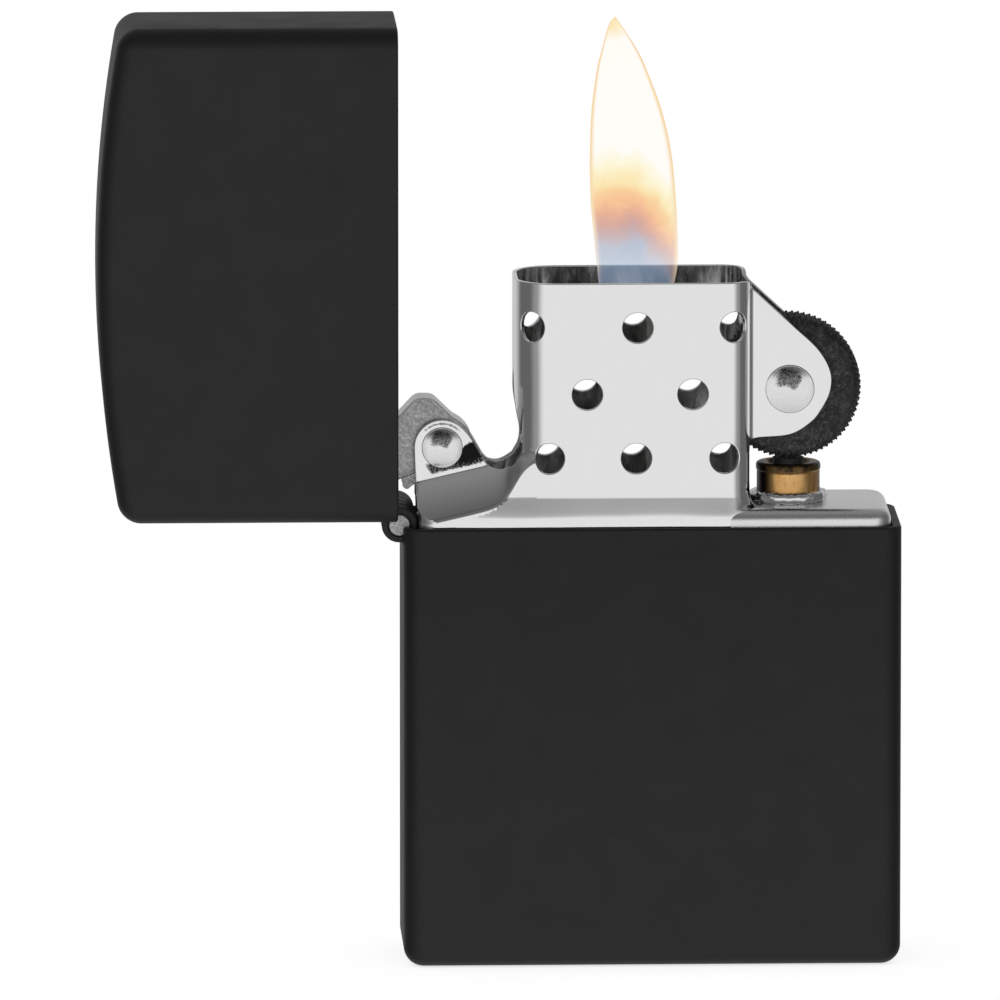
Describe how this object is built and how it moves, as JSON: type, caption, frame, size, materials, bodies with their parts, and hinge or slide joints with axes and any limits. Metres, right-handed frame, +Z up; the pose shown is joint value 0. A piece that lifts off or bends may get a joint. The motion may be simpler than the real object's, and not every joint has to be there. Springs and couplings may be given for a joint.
{
  "type": "pocket lighter",
  "caption": "Windproof flip-top petrol lighter with a black case, open lid, perforated chimney and striker wheel.",
  "frame": {"origin": "centre of the case's flat underside", "axes": "+Z up out of the case's mouth, +Y to the back, the hinge is on the -X side and the striker wheel on the +X side"},
  "size_m": [0.0615, 0.0126, 0.0725],
  "materials": {
    "black_coat": "matte",
    "polished_steel": "polished",
    "cam_steel": "satin",
    "wheel_steel": "matte",
    "brass": "polished",
    "spring_steel": "satin",
    "flint": "matte",
    "cotton": "matte",
    "felt": "matte"
  },
  "bodies": {
    "case": {"case_shell": "black_coat", "hinge_leaf_case": "black_coat", "hinge_pin": "cam_steel"},
    "lid": {"lid_shell": "black_coat", "hinge_leaf_lid": "black_coat"},
    "insert": {"insert_shell": "polished_steel", "flint_tube": "brass", "wheel_axle_rivet": "polished_steel", "cam_rivet": "polished_steel", "cam_spring": "spring_steel", "cam_spring_rivet_upper": "polished_steel", "cam_spring_rivet_lower": "polished_steel", "wick": "cotton", "packing_ball_1": "cotton", "packing_ball_2": "cotton", "packing_ball_3": "cotton", "packing_ball_4": "cotton", "packing_ball_5": "cotton", "felt_pad": "felt"},
    "cam": {"cam_lever": "cam_steel"},
    "striker": {"flint_wheel": "wheel_steel"},
    "flint_stack": {"flint": "flint", "spring_tip": "brass"},
    "spring_carrier": {"flint_spring": "spring_steel"},
    "screw": {"flint_screw": "brass"}
  },
  "joints": [
    {"name": "lid_hinge", "type": "hinge", "parent": "case", "child": "lid", "pos_m": [-0.01935, 0, 0.0341], "axis": [0, 1, 0], "range_deg": [-10, 90]},
    {"name": "insert_slide", "type": "slide", "parent": "case", "child": "insert", "axis": [0, 0, 1], "range_m": [0, 0.058]},
    {"name": "cam_pivot", "type": "hinge", "parent": "insert", "child": "cam", "pos_m": [-0.016, 0, 0.03975], "axis": [0, 1, 0], "range_deg": [-12.5, 110.5]},
    {"name": "wheel_spin", "type": "hinge", "parent": "insert", "child": "striker", "pos_m": [0.0106, 0, 0.0442], "axis": [0, 1, 0], "continuous": true},
    {"name": "flint_feed", "type": "slide", "parent": "insert", "child": "flint_stack", "axis": [0, 0, 1], "range_m": [-0.0015, 0], "stiffness_N_per_m": 300, "springref_m": 0.001, "deforming": ["flint_spring"]},
    {"name": "flint_screw_travel", "type": "slide", "parent": "insert", "child": "spring_carrier", "axis": [0, 0, -1], "range_m": [0, 0.001]},
    {"name": "flint_screw_turn", "type": "hinge", "parent": "spring_carrier", "child": "screw", "pos_m": [0.0106, 0, 0.0022], "axis": [0, 0, -1], "range_deg": [0, 720]}
  ],
  "couplings": [
    {"joint": "cam_pivot", "follows": "lid_hinge", "ratio": 1.2222},
    {"joint": "flint_screw_turn", "follows": "flint_screw_travel", "rad_per_m": 12566}
  ]
}
